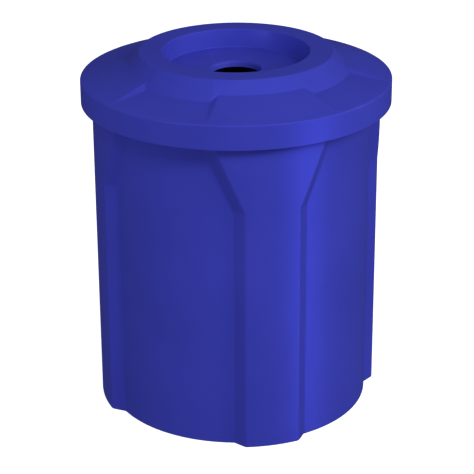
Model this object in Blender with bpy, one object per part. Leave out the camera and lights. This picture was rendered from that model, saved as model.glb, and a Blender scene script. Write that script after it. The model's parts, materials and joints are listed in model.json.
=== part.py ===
"""Round outdoor recycling receptacle: a fluted plastic barrel, a lift-off lid with a round
drop hole in a sunken dish, and a lift-out rigid liner with two drop handles.

Frame: origin at the centre of the foot, on the ground. +Z is up. One raised panel of the
barrel faces -Y. Angles round the barrel are counted from -Y towards +X. Units are metres.
"""

import math

import bmesh
import bpy
from mathutils import Matrix, Vector

# ---- Driving dimensions -------------------------------------------------------------------
LID_RADIUS = 0.320
RIM_HEIGHT = 0.709  # top outer edge of the lid's skirt above the ground
GAP = 0.0003  # left between pieces that touch
WALL = 0.0045  # moulded wall of the barrel and of the lid
PANELS = 4
PANEL_PITCH = 360 / PANELS

# Barrel
RECESS_RADIUS = 0.2768
PANEL_RADIUS = 0.2973
PANEL_HALF = (10.9, 15.6)  # degrees from a panel's centre to its face's edge and to its foot
FLARE_HALF = (25.2, 31.6)  # the same where the panel meets the rim
KNEE_HEIGHT = 0.518  # where a panel starts to flare
FLARE_TOP = 0.688
FLANGE_RADIUS = 0.311
FLANGE_TOP = RIM_HEIGHT - WALL - GAP
FLANGE_BASE = FLARE_TOP + 0.008
EDGE = 0.005  # rounding of the barrel's foot
LIP = 0.0015  # rounding of rims and free edges
FLOOR = 0.0055  # thickness of the barrel's floor
KICK_UP = 0.012  # the middle of the floor stands this far off the ground
FOOT_INNER = 0.244
FOOT_RISE = 0.006  # how far the floor's rise runs inwards from the foot
DRAIN_RADIUS = 0.006
DRAIN_CIRCLE = 0.266
GROUND_BOLT_RADIUS = 0.0068
GROUND_BOLT_CIRCLE = 0.150

# Lid, heights counted from RIM_HEIGHT
SKIRT_DROP = 0.0507
SECTOR_INNER = (22.8, 26.4)  # degrees to a raised sector's edge and to the foot of its step
SECTOR_OUTER = (24.3, 24.9)
CREST_RISE = 0.0521
CREST_OUTER = 0.1994
CREST_INNER = 0.1513
DISH_RISE = 0.0134
DISH_RADIUS = 0.1459
HOLE_MOUTH = 0.0550
HOLE_THROAT = 0.0466
LIP_DROP = 0.013  # depth of the rolled lip round the hole
SEAT_INNER = 0.300  # inner edge of the flat that rests on the barrel
RIM_ROUND = 0.0045
CREST_ROUND = 0.0035
SLOPE_FOOT_LOW = (0.2339, 0.0160)
SLOPE_FOOT_HIGH = (0.2213, 0.0270)
ANNULUS_OUTER = (0.3150, 0.0010)

# Rigid liner
LINER_WALL = 0.003
LINER_FOOT = KICK_UP + FLOOR + GAP
LINER_TOP = 0.685
LINER_RADIUS_FOOT = 0.236
LINER_RADIUS_TOP = 0.260
LINER_LIP = 0.2645
LINER_KICK = 0.012  # how far the middle of its floor is raised
LINER_KICK_RADIUS = 0.190
LINER_KICK_RUN = 0.008
LINER_EDGE = 0.004
LINER_SOFTEN = 0.001
LIP_DEPTH = 0.009

# Drop handles on the liner
PIVOT_HEIGHT = 0.640
PIVOT_FROM_WALL = 0.0062
WIRE_RADIUS = 0.003
HANDLE_BAR_HALF = 0.030
HANDLE_GRIP_HALF = 0.052
HANDLE_DROP = 0.062
HANDLE_CORNER = 0.010
HANDLE_LEAN = 9.0  # degrees from hanging plumb, where the grip rests by the wall
SADDLE_HALF_WIDTH = 0.020
SADDLE_HALF_HEIGHT = 0.017
SADDLE_SHEET = 0.0016
SADDLE_OFF_WALL = 0.0011
SADDLE_BORE = 0.0036
RIVET_AT = (0.013, 0.0115)
RIVET_SHANK = 0.0023
RIVET_HOLE = RIVET_SHANK + GAP
RIVET_HEAD = (0.0044, 0.0022)  # radius and height
RIVET_TAIL = (0.0036, 0.0018)

# Tether anchors: button-head bolt outside, eye nut inside
BOLT_RADIUS = 0.0040
BOLT_HOLE = BOLT_RADIUS + GAP
HEAD_RADIUS = 0.0090
HEAD_HEIGHT = 0.0042
BOLT_POINT = 0.0006  # chamfer at the bolt's end
BOLT_SHORT = 0.0015  # the bolt ends this far inside the eye nut's collar
WASHER_RADIUS = 0.0110
WASHER_THICK = 0.0016
EYE_COLLAR = (0.0070, 0.0050)
EYE_RING = (0.0065, 0.0025)
BARREL_ANCHOR_HEIGHT = 0.676
LID_ANCHOR_RADIUS = 0.272
ANCHOR_ANGLE = 180.0


# ---- Materials ----------------------------------------------------------------------------
def material(name, colour, roughness, metallic=0.0):
    made = bpy.data.materials.new(name)
    made.use_nodes = True
    shader = made.node_tree.nodes["Principled BSDF"]
    shader.inputs["Base Color"].default_value = (*colour, 1.0)
    shader.inputs["Roughness"].default_value = roughness
    shader.inputs["Metallic"].default_value = metallic
    return made


# ---- Helpers ------------------------------------------------------------------------------
def clear_scene():
    for old in list(bpy.data.objects):
        bpy.data.objects.remove(old)


def link(name, data, paint=None):
    made = bpy.data.objects.new(name, data)
    bpy.context.scene.collection.objects.link(made)
    if paint:
        made.data.materials.append(paint)
    return made


def finish_mesh(name, shape, paint=None, smooth_angle=30):
    """Turn a bmesh into an object whose faces point outwards."""
    bmesh.ops.recalc_face_normals(shape, faces=shape.faces)
    mesh = bpy.data.meshes.new(name)
    shape.to_mesh(mesh)
    shape.free()
    mesh.shade_smooth()
    mesh.set_sharp_from_angle(angle=math.radians(smooth_angle))
    return link(name, mesh, paint)


def around(radius, degrees, height):
    angle = math.radians(degrees)
    return Vector((radius * math.sin(angle), -radius * math.cos(angle), height))


def panel_ring(low, high, half, high_steps, low_steps):
    """Points once round a shell whose section steps between low and high panels.

    low and high are (radius, height) between the panels and on them. half is the angle from
    a panel's centre to the edge of its face, and to the foot of its side.
    """
    face_half, foot_half = half
    points = []
    for panel in range(PANELS):
        centre = panel * PANEL_PITCH
        for i in range(high_steps + 1):
            turn = -face_half + 2 * face_half * i / high_steps
            points.append(around(high[0], centre + turn, high[1]))
        gap = PANEL_PITCH - 2 * foot_half
        for i in range(low_steps + 1):
            turn = foot_half + gap * i / low_steps
            points.append(around(low[0], centre + turn, low[1]))
    return points


def loft(name, rings, paint, close=False):
    """Skin a row of rings of equal length. The ends are capped, or joined to each other."""
    shape = bmesh.new()
    made = [[shape.verts.new(point) for point in ring] for ring in rings]
    count = len(made[0])
    pairs = list(zip(made, made[1:]))
    if close:
        pairs.append((made[-1], made[0]))
    for one, two in pairs:
        for i in range(count):
            j = (i + 1) % count
            shape.faces.new((one[i], one[j], two[j], two[i]))
    if not close:
        shape.faces.new(list(reversed(made[0])))
        shape.faces.new(made[-1])
    return finish_mesh(name, shape, paint)


def turned(name, profile, paint, steps=24, smooth_angle=30):
    """Spin a closed or axis-to-axis outline of (radius, height) points round local Z."""
    shape = bmesh.new()
    points = [shape.verts.new((radius, 0, height)) for radius, height in profile]
    on_axis = profile[0][0] == 0 and profile[-1][0] == 0
    edges = [shape.edges.new(pair) for pair in zip(points, points[1:])]
    if not on_axis:
        edges.append(shape.edges.new((points[-1], points[0])))
    bmesh.ops.spin(
        shape,
        geom=points + edges,
        cent=(0, 0, 0),
        axis=(0, 0, 1),
        angle=2 * math.pi,
        steps=steps,
        use_merge=True,
    )
    bmesh.ops.remove_doubles(shape, verts=shape.verts, dist=1e-6)
    return finish_mesh(name, shape, paint, smooth_angle)


def cylinder(name, radius, length, steps=24, paint=None):
    """A round bar along Z, turned half a facet so that no corner sits on a main axis."""
    shape = bmesh.new()
    bmesh.ops.create_cone(
        shape,
        cap_ends=True,
        segments=steps,
        radius1=radius,
        radius2=radius,
        depth=length,
        matrix=Matrix.Rotation(math.pi / steps, 4, "Z"),
    )
    return finish_mesh(name, shape, paint)


def as_helper(piece):
    piece.hide_render = True
    piece.display_type = "WIRE"
    return piece


def boolean(piece, other, operation):
    modifier = piece.modifiers.new(other.name, "BOOLEAN")
    modifier.operation = operation
    modifier.object = as_helper(other)


def drill(piece, name, radius, length, matrix):
    """Cut a round hole whose axis is the matrix's Z and whose middle is its origin."""
    cutter = cylinder(name, radius, length)
    cutter.matrix_world = matrix
    boolean(piece, cutter, "DIFFERENCE")


def frame_along(direction, origin, side=(1, 0, 0)):
    """A matrix at origin whose Z is direction and whose X is as near to side as it can be."""
    z_axis = Vector(direction).normalized()
    y_axis = z_axis.cross(Vector(side)).normalized()
    x_axis = y_axis.cross(z_axis)
    turn = Matrix((x_axis, y_axis, z_axis)).transposed()
    return Matrix.Translation(origin) @ turn.to_4x4()


def empty(name, matrix):
    made = bpy.data.objects.new(name, None)
    bpy.context.scene.collection.objects.link(made)
    made.matrix_world = matrix
    return made


def on_parent(piece, parent, matrix=None):
    piece.parent = parent
    piece.matrix_local = matrix or Matrix.Identity(4)
    return piece


# ---- Barrel -------------------------------------------------------------------------------
def barrel_ring(inset, height, half=PANEL_HALF):
    return panel_ring(
        (RECESS_RADIUS - inset, height), (PANEL_RADIUS - inset, height), half, 8, 10
    )


def plain_ring(radius, height, half):
    return panel_ring((radius, height), (radius, height), half, 8, 10)


def make_barrel(paint):
    rise_top = FOOT_INNER - FOOT_RISE
    rings = [
        plain_ring(rise_top - FOOT_RISE, KICK_UP, PANEL_HALF),
        plain_ring(rise_top, KICK_UP - LIP, PANEL_HALF),
        plain_ring(FOOT_INNER, 0.0, PANEL_HALF),
        barrel_ring(EDGE, 0.0),
        barrel_ring(0.3 * EDGE, 0.3 * EDGE),
        barrel_ring(0.0, EDGE),
        barrel_ring(0.0, KNEE_HEIGHT),
        barrel_ring(0.0, FLARE_TOP, FLARE_HALF),
        plain_ring(FLANGE_RADIUS - LIP, FLANGE_BASE - LIP, FLARE_HALF),
        plain_ring(FLANGE_RADIUS, FLANGE_BASE, FLARE_HALF),
        plain_ring(FLANGE_RADIUS, FLANGE_TOP - LIP, FLARE_HALF),
        plain_ring(FLANGE_RADIUS - LIP, FLANGE_TOP, FLARE_HALF),
        barrel_ring(WALL - LIP, FLANGE_TOP, FLARE_HALF),
        barrel_ring(WALL, FLANGE_TOP - LIP, FLARE_HALF),
        barrel_ring(WALL, FLARE_TOP, FLARE_HALF),
        barrel_ring(WALL, KNEE_HEIGHT),
        barrel_ring(WALL, FLOOR + EDGE),
        barrel_ring(WALL + EDGE, FLOOR),
        plain_ring(FOOT_INNER + EDGE, FLOOR, PANEL_HALF),
        plain_ring(rise_top + EDGE, FLOOR + KICK_UP - LIP, PANEL_HALF),
        plain_ring(rise_top + EDGE - FOOT_RISE, FLOOR + KICK_UP, PANEL_HALF),
    ]
    barrel = loft("barrel", rings, paint)
    for i in range(PANELS):
        angle = i * PANEL_PITCH
        place = Matrix.Translation(around(DRAIN_CIRCLE, angle, FLOOR / 2))
        drill(barrel, f"drain_cutter_{i}", DRAIN_RADIUS, 4 * FLOOR, place)
        place = Matrix.Translation(
            around(GROUND_BOLT_CIRCLE, angle + PANEL_PITCH / 2, KICK_UP + FLOOR / 2)
        )
        drill(barrel, f"ground_bolt_cutter_{i}", GROUND_BOLT_RADIUS, 4 * FLOOR, place)
    return barrel


# ---- Lid ----------------------------------------------------------------------------------
def lid_ring(low, high=None, half=SECTOR_INNER):
    """A ring of the lid, with heights counted from the rim plane."""
    high = high or low
    return panel_ring(
        (low[0], RIM_HEIGHT + low[1]), (high[0], RIM_HEIGHT + high[1]), half, 8, 7
    )


def annulus_rise(radius, slope_foot):
    """Height of the lid's sloping top at a radius, on the low or on the raised sectors."""
    share = (ANNULUS_OUTER[0] - radius) / (ANNULUS_OUTER[0] - slope_foot[0])
    return ANNULUS_OUTER[1] + share * (slope_foot[1] - ANNULUS_OUTER[1])


def under_annulus(slope_foot):
    """The underside of the sloping top where it leaves the flat seat."""
    return SEAT_INNER, annulus_rise(SEAT_INNER, slope_foot) - WALL


def under_slope_foot(slope_foot):
    """The underside where the slope meets the dome, one wall in from the top."""
    return slope_foot[0] - 0.5 * WALL, slope_foot[1] - 1.1 * WALL


def lid_top_rings():
    """From the lip of the hole over the dish, crest and dome to the foot of the skirt."""
    return [
        lid_ring((HOLE_THROAT, DISH_RISE - LIP_DROP)),
        lid_ring((HOLE_THROAT + 0.1 * LIP_DROP, DISH_RISE - 0.4 * LIP_DROP)),
        lid_ring((HOLE_THROAT + 0.3 * LIP_DROP, DISH_RISE - 0.1 * LIP_DROP)),
        lid_ring((HOLE_MOUTH, DISH_RISE)),
        lid_ring((DISH_RADIUS - CREST_ROUND, DISH_RISE)),
        lid_ring((DISH_RADIUS, DISH_RISE + CREST_ROUND)),
        lid_ring((CREST_INNER - 0.2 * CREST_ROUND, CREST_RISE - CREST_ROUND)),
        lid_ring((CREST_INNER + 0.8 * CREST_ROUND, CREST_RISE)),
        lid_ring((CREST_OUTER - LIP, CREST_RISE)),
        lid_ring((CREST_OUTER + LIP, CREST_RISE - LIP)),
        lid_ring(SLOPE_FOOT_LOW, SLOPE_FOOT_HIGH),
        lid_ring(ANNULUS_OUTER, half=SECTOR_OUTER),
        lid_ring((LID_RADIUS - 0.3 * RIM_ROUND, -0.2 * RIM_ROUND), half=SECTOR_OUTER),
        lid_ring((LID_RADIUS, -RIM_ROUND), half=SECTOR_OUTER),
        lid_ring((LID_RADIUS, LIP - SKIRT_DROP), half=SECTOR_OUTER),
        lid_ring((LID_RADIUS - LIP, -SKIRT_DROP), half=SECTOR_OUTER),
    ]


def lid_under_rings():
    """From the foot of the skirt over the seat and back under the dome to the hole."""
    seat = -WALL
    dish_under = DISH_RISE - WALL
    crest_under = CREST_RISE - WALL
    slope_low, slope_high = under_annulus(SLOPE_FOOT_LOW), under_annulus(SLOPE_FOOT_HIGH)
    foot_low, foot_high = under_slope_foot(SLOPE_FOOT_LOW), under_slope_foot(SLOPE_FOOT_HIGH)
    return [
        lid_ring((LID_RADIUS - WALL, -SKIRT_DROP), half=SECTOR_OUTER),
        lid_ring((LID_RADIUS - WALL, seat - CREST_ROUND), half=SECTOR_OUTER),
        lid_ring((LID_RADIUS - WALL - CREST_ROUND, seat), half=SECTOR_OUTER),
        lid_ring((SEAT_INNER + WALL, seat), half=SECTOR_OUTER),
        lid_ring(slope_low, slope_high, SECTOR_OUTER),
        lid_ring(foot_low, foot_high),
        lid_ring((CREST_OUTER - LIP, crest_under)),
        lid_ring((CREST_INNER + WALL, crest_under)),
        lid_ring((DISH_RADIUS + WALL, dish_under + CREST_ROUND)),
        lid_ring((DISH_RADIUS, dish_under)),
        lid_ring((HOLE_MOUTH + LIP, dish_under)),
        lid_ring((HOLE_THROAT + WALL, DISH_RISE - LIP_DROP)),
    ]


def make_lid(paint):
    return loft("lid", lid_top_rings() + lid_under_rings(), paint, close=True)


# ---- Rigid liner --------------------------------------------------------------------------
def liner_inner_radius(height):
    share = (height - LINER_FOOT) / (LINER_TOP - LINER_FOOT)
    outer = LINER_RADIUS_FOOT + share * (LINER_RADIUS_TOP - LINER_RADIUS_FOOT)
    return outer - LINER_WALL


def make_liner(paint):
    foot, top = LINER_FOOT, LINER_TOP
    raised = foot + LINER_KICK
    kick_foot = LINER_KICK_RADIUS + LINER_KICK_RUN
    lip_under = top - LIP_DEPTH
    soften = LINER_SOFTEN
    inner_foot = LINER_RADIUS_FOOT - LINER_WALL
    inner_top = LINER_RADIUS_TOP - LINER_WALL
    profile = [
        (0, raised),
        (LINER_KICK_RADIUS, raised),
        (kick_foot, foot),
        (LINER_RADIUS_FOOT - LINER_EDGE, foot),
        (LINER_RADIUS_FOOT, foot + LINER_EDGE),
        (liner_inner_radius(lip_under) + LINER_WALL, lip_under),
        (LINER_LIP - soften, lip_under),
        (LINER_LIP, lip_under + soften),
        (LINER_LIP, top - LIP),
        (LINER_LIP - LIP, top),
        (inner_top + soften, top),
        (inner_top, top - soften),
        (inner_foot, foot + LINER_WALL + LINER_EDGE),
        (inner_foot - LINER_EDGE, foot + LINER_WALL),
        (kick_foot + 2 * soften, foot + LINER_WALL),
        (LINER_KICK_RADIUS + 2 * soften, raised + LINER_WALL),
        (0, raised + LINER_WALL),
    ]
    return turned("rigid_liner", profile, paint, steps=72)


# ---- Drop handles -------------------------------------------------------------------------
def wall_frame(side):
    """Where a handle is fixed: X points off the wall to the axis, Z up along the wall.

    side is +1 for the handle at +X and -1 for the one at -X.
    """
    lean = math.atan(
        (LINER_RADIUS_TOP - LINER_RADIUS_FOOT) / (LINER_TOP - LINER_FOOT)
    )
    at_plus_x = Matrix.Translation((liner_inner_radius(PIVOT_HEIGHT), 0, PIVOT_HEIGHT))
    inward = Matrix.Rotation(lean, 4, "Y") @ Matrix.Rotation(math.pi, 4, "Z")
    half_turn = Matrix.Rotation(0 if side > 0 else math.pi, 4, "Z")
    return half_turn @ at_plus_x @ inward


def pivot_frame(side):
    """The handle's hinge: Y along the bar, -Z down the hanging ring, leaning off the wall."""
    pivot = wall_frame(side) @ Vector((PIVOT_FROM_WALL, 0, 0))
    lean = Matrix.Rotation(math.radians(side * HANDLE_LEAN), 4, "Y")
    return Matrix.Translation(pivot) @ lean


def rounded_corners(corners, radius, steps=4):
    """A closed outline with each corner rounded by an arc, sampled in equal turns."""
    outline = []
    for i, corner in enumerate(corners):
        here = Vector(corner)
        before = (Vector(corners[i - 1]) - here).normalized()
        after = (Vector(corners[(i + 1) % len(corners)]) - here).normalized()
        half_angle = before.angle(after) / 2
        centre = here + (before + after).normalized() * radius / math.sin(half_angle)
        start = here + before * radius / math.tan(half_angle) - centre
        turn = math.pi - 2 * half_angle
        sense = 1 if before.cross(after) < 0 else -1
        for k in range(steps + 1):
            angle = sense * turn * k / steps
            cosine, sine = math.cos(angle), math.sin(angle)
            outline.append(
                centre
                + Vector(
                    (
                        cosine * start.x - sine * start.y,
                        sine * start.x + cosine * start.y,
                    )
                )
            )
    return outline


def make_handle(name, side, paint):
    corners = [
        (-HANDLE_BAR_HALF, 0),
        (HANDLE_BAR_HALF, 0),
        (HANDLE_GRIP_HALF, -HANDLE_DROP),
        (-HANDLE_GRIP_HALF, -HANDLE_DROP),
    ]
    outline = rounded_corners(corners, HANDLE_CORNER)
    curve = bpy.data.curves.new(name, "CURVE")
    curve.dimensions = "3D"
    curve.bevel_depth = WIRE_RADIUS
    curve.bevel_resolution = 3
    spline = curve.splines.new("POLY")
    spline.points.add(len(outline) - 1)
    for point, place in zip(spline.points, outline):
        point.co = (0, place.x, place.y, 1)
    spline.use_cyclic_u = True
    ring = link(name, curve, paint)
    pivot = empty(f"{name}_pivot", pivot_frame(side))
    return on_parent(ring, pivot)


def make_saddle(name, side, paint):
    """A sheet strap bent over the handle's bar, with a flat above and below for rivets."""
    back = SADDLE_OFF_WALL
    front = back + SADDLE_SHEET
    bore = SADDLE_BORE
    crown = bore + SADDLE_SHEET
    steps = 8
    half_turns = [math.pi * k / steps - math.pi / 2 for k in range(steps + 1)]
    inner = [
        (PIVOT_FROM_WALL + bore * math.cos(a), bore * math.sin(a)) for a in half_turns
    ]
    outer = [
        (PIVOT_FROM_WALL + crown * math.cos(a), crown * math.sin(a)) for a in half_turns
    ]
    high = SADDLE_HALF_HEIGHT
    outline = [(back, -high), (back, -bore), *inner, (back, bore), (back, high)]
    outline += [(front, high), (front, crown), *reversed(outer), (front, -crown)]
    outline += [(front, -high)]
    shape = bmesh.new()
    verts = [shape.verts.new((x, -SADDLE_HALF_WIDTH, z)) for x, z in outline]
    face = shape.faces.new(verts)
    grown = bmesh.ops.extrude_face_region(shape, geom=[face])["geom"]
    moved = [part for part in grown if isinstance(part, bmesh.types.BMVert)]
    bmesh.ops.translate(shape, verts=moved, vec=(0, 2 * SADDLE_HALF_WIDTH, 0))
    saddle = finish_mesh(name, shape, paint)
    return on_parent(saddle, empty(f"{name}_frame", wall_frame(side)))


def rivet_places():
    """(sideways, up) of a saddle's four rivets, in the wall frame."""
    across, up = RIVET_AT
    return [(-across, up), (across, up), (-across, -up), (across, -up)]


def make_rivet(name, side, place, paint):
    """Domed head inside the liner, shank through saddle and wall, set tail outside."""
    head = SADDLE_OFF_WALL + SADDLE_SHEET + GAP
    tail = -LINER_WALL - 2 * GAP
    head_radius, head_height = RIVET_HEAD
    tail_radius, tail_height = RIVET_TAIL
    profile = [
        (0, head + head_height),
        (0.5 * head_radius, head + 0.8 * head_height),
        (0.9 * head_radius, head + 0.3 * head_height),
        (head_radius, head),
        (RIVET_SHANK, head),
        (RIVET_SHANK, tail),
        (tail_radius, tail),
        (0.9 * tail_radius, tail - 0.7 * tail_height),
        (0.5 * tail_radius, tail - tail_height),
        (0, tail - tail_height),
    ]
    rivet = turned(name, profile, paint, steps=12)
    across, up = place
    lie_along_x = frame_along((1, 0, 0), (0, across, up), side=(0, 0, 1))
    rivet.matrix_world = wall_frame(side) @ lie_along_x
    return rivet


# ---- Tether anchors -----------------------------------------------------------------------
def make_bolt(name, frame, reach, paint):
    """Button-head bolt: the head's underside is at local Z 0 and the shank runs to -reach."""
    profile = [
        (0, HEAD_HEIGHT),
        (0.50 * HEAD_RADIUS, 0.90 * HEAD_HEIGHT),
        (0.85 * HEAD_RADIUS, 0.55 * HEAD_HEIGHT),
        (HEAD_RADIUS, 0.12 * HEAD_HEIGHT),
        (HEAD_RADIUS, 0),
        (BOLT_RADIUS, 0),
        (BOLT_RADIUS, BOLT_POINT - reach),
        (BOLT_RADIUS - BOLT_POINT, -reach),
        (0, -reach),
    ]
    bolt = turned(name, profile, paint)
    bolt.matrix_world = frame
    return bolt


def make_washer(name, frame, paint):
    profile = [
        (BOLT_HOLE, 0),
        (WASHER_RADIUS, 0),
        (WASHER_RADIUS, WASHER_THICK),
        (BOLT_HOLE, WASHER_THICK),
    ]
    washer = turned(name, profile, paint)
    washer.matrix_world = frame
    return washer


def make_eye_nut(name, frame, paint):
    """Threaded collar with a ring beyond it. The collar's seat is at local Z 0, ring at -Z."""
    collar_radius, collar_height = EYE_COLLAR
    ring_radius, rod_radius = EYE_RING
    nut = cylinder(name, collar_radius, collar_height, paint=paint)
    nut.data.transform(Matrix.Translation((0, 0, -collar_height / 2)))
    centre = -collar_height - ring_radius - 0.4 * rod_radius
    circle = [2 * math.pi * k / 12 for k in range(12)]
    rod = [(ring_radius + rod_radius * math.cos(a), rod_radius * math.sin(a)) for a in circle]
    ring = turned(f"{name}_ring", rod, paint)
    ring.data.transform(Matrix.Rotation(math.pi / 2, 4, "Y"))
    ring.data.transform(Matrix.Translation((0, 0, centre)))
    boolean(nut, ring, "UNION")
    bore = cylinder(f"{name}_bore", BOLT_HOLE, 2 * (collar_height - 2 * GAP))
    boolean(nut, bore, "DIFFERENCE")
    nut.matrix_world = ring.matrix_world = bore.matrix_world = frame
    return nut


def make_anchor(prefix, shell, surface, normal, wall, slack, ring_normal, paint):
    """Bolt, two washers and eye nut through a shell's wall.

    surface is the point on the outer face, normal its outward direction, and slack the extra
    gap that the faceted inner face needs. The eye's hole runs along ring_normal.
    """
    def at(depth):
        return frame_along(normal, surface - normal * depth, side=ring_normal)

    head_seat = -(WASHER_THICK + 2 * GAP)
    inner_seat = wall + slack + GAP
    eye_seat = inner_seat + WASHER_THICK + GAP
    reach = eye_seat - head_seat + EYE_COLLAR[1] - BOLT_SHORT
    drill(shell, f"{prefix}_bolt_cutter", BOLT_HOLE, 6 * wall, at(wall / 2))
    make_bolt(f"{prefix}_anchor_bolt", at(head_seat), reach, paint)
    make_washer(f"{prefix}_anchor_washer_outer", at(-GAP), paint)
    make_washer(f"{prefix}_anchor_washer_inner", at(inner_seat + WASHER_THICK), paint)
    make_eye_nut(f"{prefix}_anchor_eye_nut", at(eye_seat), paint)


# ---- Assembly -----------------------------------------------------------------------------
def main():
    clear_scene()
    blue = material("blue_polyethylene", (0.045, 0.050, 0.42), 0.45)
    black = material("black_polyethylene", (0.020, 0.020, 0.022), 0.5)
    steel = material("stainless_steel", (0.62, 0.62, 0.60), 0.3, 1.0)
    zinc = material("zinc_plated_steel", (0.55, 0.56, 0.58), 0.4, 1.0)

    barrel = make_barrel(blue)
    lid = make_lid(blue)
    liner = make_liner(black)

    for label, side in (("right", 1), ("left", -1)):
        make_handle(f"handle_{label}", side, zinc)
        saddle = make_saddle(f"handle_saddle_{label}", side, zinc)
        for i, place in enumerate(rivet_places()):
            make_rivet(f"rivet_{label}_{i + 1}", side, place, zinc)
            across, up = place
            hole = wall_frame(side) @ frame_along((1, 0, 0), (0, across, up), (0, 0, 1))
            drill(liner, f"liner_cutter_{label}_{i}", RIVET_HOLE, 6 * LINER_WALL, hole)
            drill(saddle, f"saddle_cutter_{label}_{i}", RIVET_HOLE, 6 * LINER_WALL, hole)

    outward = around(1, ANCHOR_ANGLE, 0)
    up = Vector((0, 0, 1))
    make_anchor(
        "barrel",
        barrel,
        around(PANEL_RADIUS, ANCHOR_ANGLE, BARREL_ANCHOR_HEIGHT),
        outward,
        WALL,
        2 * GAP,
        up,
        steel,
    )
    rise = annulus_rise(LID_ANCHOR_RADIUS, SLOPE_FOOT_HIGH)
    run = ANNULUS_OUTER[0] - SLOPE_FOOT_HIGH[0]
    slope = (SLOPE_FOOT_HIGH[1] - ANNULUS_OUTER[1]) / run
    make_anchor(
        "lid",
        lid,
        around(LID_ANCHOR_RADIUS, ANCHOR_ANGLE, RIM_HEIGHT + rise),
        (up + slope * outward).normalized(),
        WALL,
        2 * GAP,
        up.cross(outward),
        steel,
    )


main()
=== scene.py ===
# %% [markdown]
# # A fluted recycling receptacle
# The real thing is a heavy plastic barrel with a lid that drops over its top. Both are moulded
# in one colour right through, so all of their looks come from shape: four raised panels that
# widen into a V under the lid, and the same four sectors repeated on top. Inside stands a
# plain black tub with two drop handles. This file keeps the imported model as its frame, and
# draws all but two pieces again with finer curves and a proper finish. Lengths are metres,
# and angles are degrees counted from -Y towards +X.

# %% Load the frame
import json
import math

import bpy
import numpy as np
from mathutils import Matrix, Vector


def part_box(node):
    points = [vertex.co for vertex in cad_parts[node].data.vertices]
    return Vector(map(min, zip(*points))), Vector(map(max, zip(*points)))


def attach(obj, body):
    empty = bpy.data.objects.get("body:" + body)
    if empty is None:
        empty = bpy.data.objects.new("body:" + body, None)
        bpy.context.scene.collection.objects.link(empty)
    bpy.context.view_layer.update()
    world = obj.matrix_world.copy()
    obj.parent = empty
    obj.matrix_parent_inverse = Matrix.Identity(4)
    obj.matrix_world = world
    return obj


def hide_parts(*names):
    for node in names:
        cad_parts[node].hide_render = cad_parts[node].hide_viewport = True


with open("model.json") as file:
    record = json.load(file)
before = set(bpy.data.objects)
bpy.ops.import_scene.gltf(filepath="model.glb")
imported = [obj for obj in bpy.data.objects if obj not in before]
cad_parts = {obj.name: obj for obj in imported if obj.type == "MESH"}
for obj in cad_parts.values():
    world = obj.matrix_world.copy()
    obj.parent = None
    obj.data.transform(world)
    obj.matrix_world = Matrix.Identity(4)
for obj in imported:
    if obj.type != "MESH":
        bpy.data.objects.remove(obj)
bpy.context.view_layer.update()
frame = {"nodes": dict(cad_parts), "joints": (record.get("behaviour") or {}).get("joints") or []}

joints = {joint["name"]: joint for joint in frame["joints"]}

# %% [markdown]
# ## Sizes from the frame
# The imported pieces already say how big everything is, so the outer sizes are read from them:
# the lid's box gives its radius and both ends of its height, and the barrel's box gives the
# flange that the lid sits on. Only what a box can't tell, such as how far a panel reaches
# round the barrel, is written here as a number.

# %% Read the main sizes
lid_low, lid_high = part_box("lid")
barrel_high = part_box("barrel")[1]
liner_low, liner_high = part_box("rigid_liner")

LID_RADIUS = lid_high.x
CREST_TOP = lid_high.z
SKIRT_BOTTOM = lid_low.z
FLANGE_RADIUS = barrel_high.x
FLANGE_TOP = barrel_high.z
SKIRT_DROP = 0.0507
RIM = SKIRT_BOTTOM + SKIRT_DROP  # the lid's upper rim, which its other heights count from
WALL = 0.0045
PANELS = 4
PITCH = 360 / PANELS

print(f"lid {2000 * LID_RADIUS:.0f} mm across, {1000 * CREST_TOP:.0f} mm up")
print(f"barrel flange {2000 * FLANGE_RADIUS:.0f} mm across, {1000 * FLANGE_TOP:.0f} mm up")

# %% [markdown]
# ## Softened corners
# No moulded edge is truly sharp: the plastic rounds it by a few millimetres, and that thin
# round is what catches the light. A Bevel modifier could round a finished mesh, but it rounds
# every edge alike. Here a corner is rounded before there is any mesh, by swapping it for a
# short parabola between a point a little before it and a point a little after it. The same
# formula works on a plain outline and on a whole row of numbers at once.

# %% Round the corners of a path
def parabola(start, corner, end, steps):
    """Points (1-s)^2 start + 2 s (1-s) corner + s^2 end, for s from 0 to 1 in equal steps.

    The inputs have one row per curve, and the result gets a new axis for s after it.
    """
    s = np.linspace(0, 1, steps)[:, None]
    start, corner, end = (np.asarray(part)[..., None, :] for part in (start, corner, end))
    return (1 - s) ** 2 * start + 2 * s * (1 - s) * corner + s**2 * end


def rounded_path(corners, reach, steps=6, closed=False, measured=2):
    """An open or closed path with each corner swapped for a parabola.

    Each parabola starts and ends a distance reach from its corner, or 45% of the way to the
    next one if that is less. Distance counts only the first measured columns.
    """
    corners = np.asarray(corners, float)
    reach = np.broadcast_to(reach, len(corners))[:, None]
    before, after = np.roll(corners, 1, axis=0), np.roll(corners, -1, axis=0)

    def towards(other):
        gap = np.linalg.norm((other - corners)[:, :measured], axis=1, keepdims=True)
        return corners + (other - corners) * np.minimum(0.45, reach / np.maximum(gap, 1e-9))

    arcs = parabola(towards(before), corners, towards(after), steps)
    if closed:
        return arcs.reshape(-1, corners.shape[1])
    inside = arcs[1:-1].reshape(-1, corners.shape[1])
    return np.concatenate([corners[:1], inside, corners[-1:]])


def fill_gaps(path, spacing, measured=2):
    """Linear points added along every straight that is longer than spacing."""
    lengths = np.linalg.norm(np.diff(path[:, :measured], axis=0), axis=1)
    counts = np.maximum(1, np.ceil(lengths / spacing)).astype(int)
    place = [i + np.arange(count) / count for i, count in enumerate(counts)]
    place = np.append(np.concatenate(place), len(path) - 1)
    index = np.arange(len(path))
    return np.stack([np.interp(place, index, column) for column in path.T], axis=1)


print("a right angle rounded by 5 mm:")
print(rounded_path([(0, 0), (0.1, 0), (0.1, 0.1)], 0.005, 3).round(4).tolist())

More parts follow.
